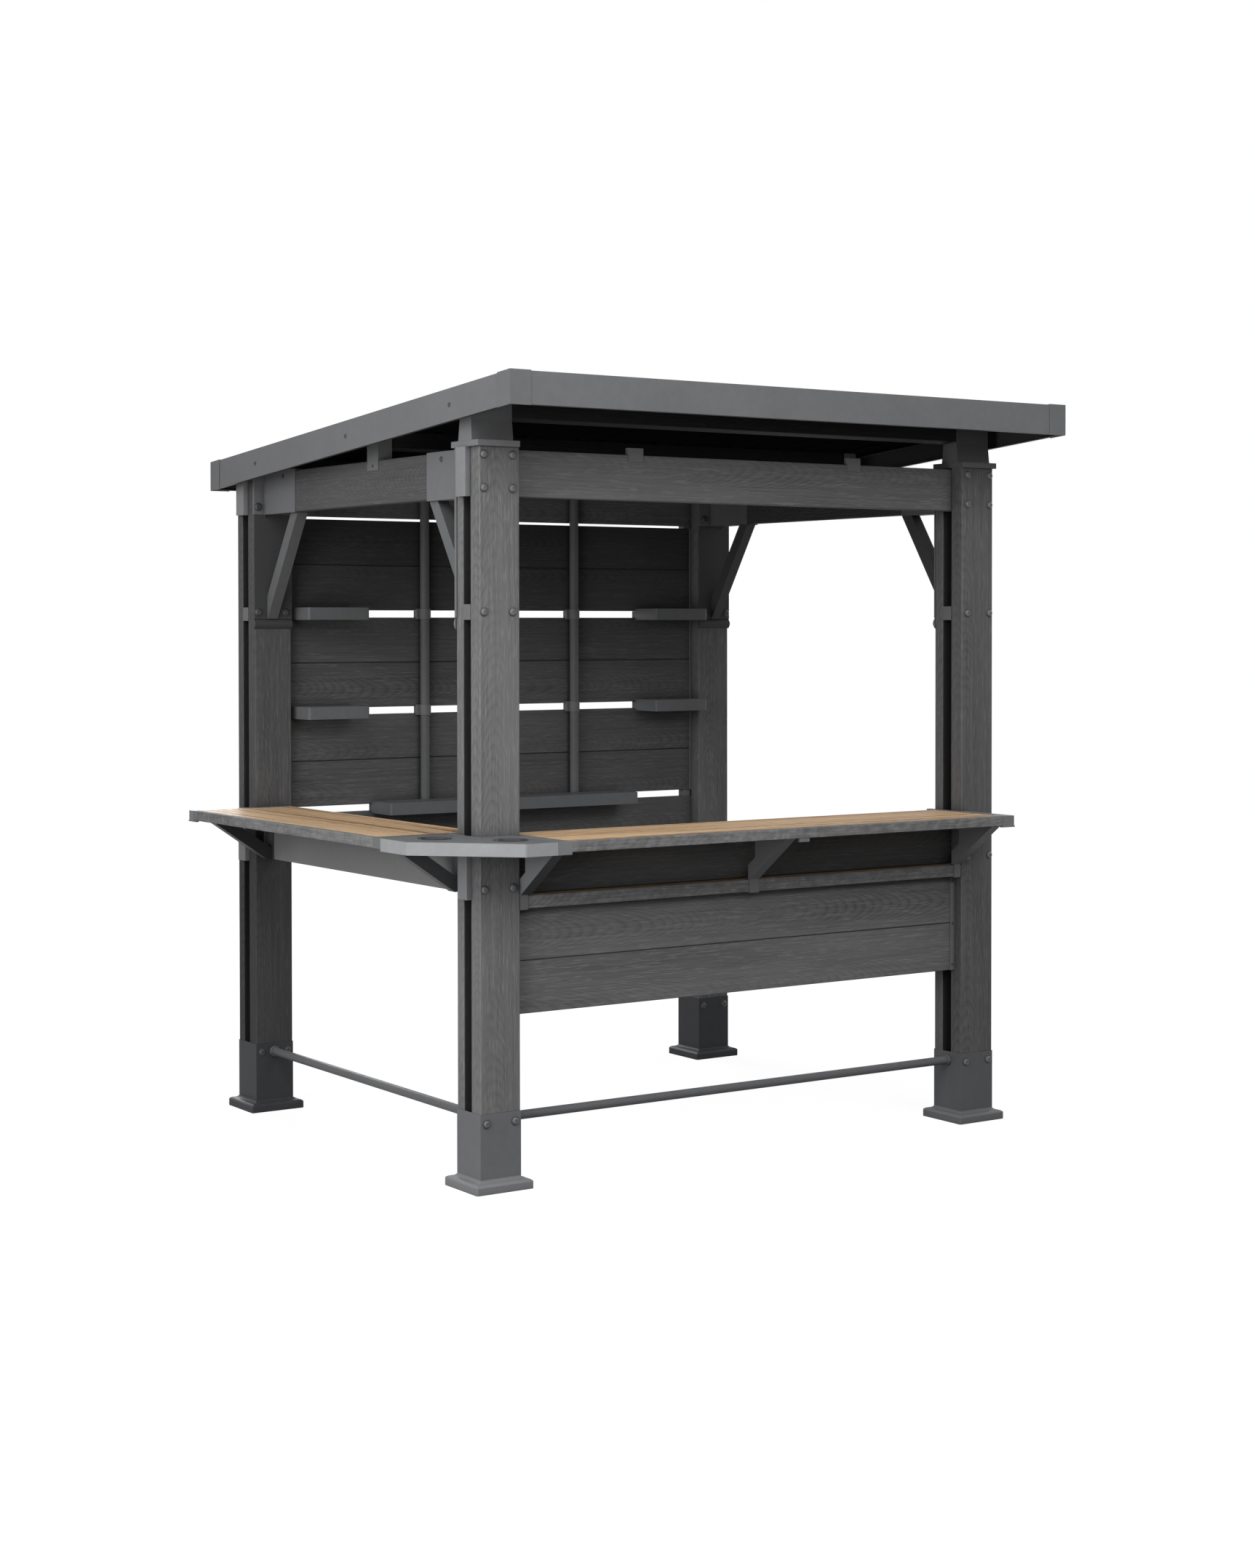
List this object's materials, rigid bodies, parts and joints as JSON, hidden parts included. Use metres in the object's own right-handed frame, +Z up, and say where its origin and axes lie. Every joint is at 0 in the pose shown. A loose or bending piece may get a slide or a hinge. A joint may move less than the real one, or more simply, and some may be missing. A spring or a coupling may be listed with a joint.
{
  "type": "bar gazebo",
  "caption": "Small roofed gazebo with a corner bar counter on two sides, a boarded back wall with shelves, braced double-board posts and foot rails.",
  "frame": {"origin": "on the floor, at the middle of the whole object's plan (roof and counters)", "axes": "+X along the front, from the corner tray to the open side; +Y from the bar front to the boarded back wall; +Z up"},
  "size_m": [2.36, 2.043, 2.4415],
  "materials": {
    "charcoal_board": "matt charcoal stain over open grain",
    "oak_plank": "matt light brown",
    "base_metal": "satin grey powder coat",
    "riser_metal": "satin grey powder coat",
    "tray_metal": "satin light grey powder coat",
    "profile_metal": "satin grey powder coat",
    "roof_metal": "satin charcoal coat",
    "fascia_metal": "satin grey powder coat",
    "dark_metal": "satin dark grey powder coat",
    "rail_metal": "satin grey powder coat",
    "bolt_metal": "satin grey coat",
    "grey_metal": "satin grey powder coat"
  },
  "bodies": {
    "root": {"base_front_left": "base_metal", "base_front_right": "base_metal", "base_rear_left": "base_metal", "base_rear_right": "base_metal", "board_front_left_a": "charcoal_board", "board_front_left_b": "charcoal_board", "board_front_right_a": "charcoal_board", "board_front_right_b": "charcoal_board", "board_rear_left_a": "charcoal_board", "board_rear_left_b": "charcoal_board", "board_rear_right_a": "charcoal_board", "board_rear_right_b": "charcoal_board", "slot_blocks": "grey_metal", "beam_end_caps": "grey_metal", "bar_end_caps": "grey_metal", "riser_left": "riser_metal", "riser_right": "riser_metal", "rear_pads": "grey_metal", "beam_front": "charcoal_board", "beam_rear": "charcoal_board", "beam_left": "charcoal_board", "beam_right": "charcoal_board", "brace_sockets_left": "grey_metal", "brace_sockets_right": "grey_metal", "braces": "grey_metal", "fascia_front": "fascia_metal", "fascia_rear": "fascia_metal", "fascia_left": "fascia_metal", "fascia_right": "fascia_metal", "fascia_corners": "fascia_metal", "purlin_front": "charcoal_board", "purlin_middle": "charcoal_board", "purlin_rear": "charcoal_board", "purlin_shoes": "grey_metal", "beam_clips": "grey_metal", "roof_sheets": "roof_metal", "corner_tray": "tray_metal", "planks_side": "oak_plank", "planks_front": "oak_plank", "edge_side": "charcoal_board", "edge_front": "charcoal_board", "counter_ends": "profile_metal", "brackets_front": "dark_metal", "brackets_side": "dark_metal", "apron": "dark_metal", "bar_beam": "charcoal_board", "panel_boards": "charcoal_board", "panel_channels": "grey_metal", "ledge": "oak_plank", "ledge_edge": "charcoal_board", "ledge_clamps": "grey_metal", "foot_rails": "rail_metal", "rail_collars": "grey_metal", "wall_boards": "charcoal_board", "wall_beam": "charcoal_board", "wall_channels": "grey_metal", "wall_bars": "rail_metal", "bar_clamps": "grey_metal", "shelves": "dark_metal", "post_bolts": "bolt_metal"}
  },
  "joints": []
}
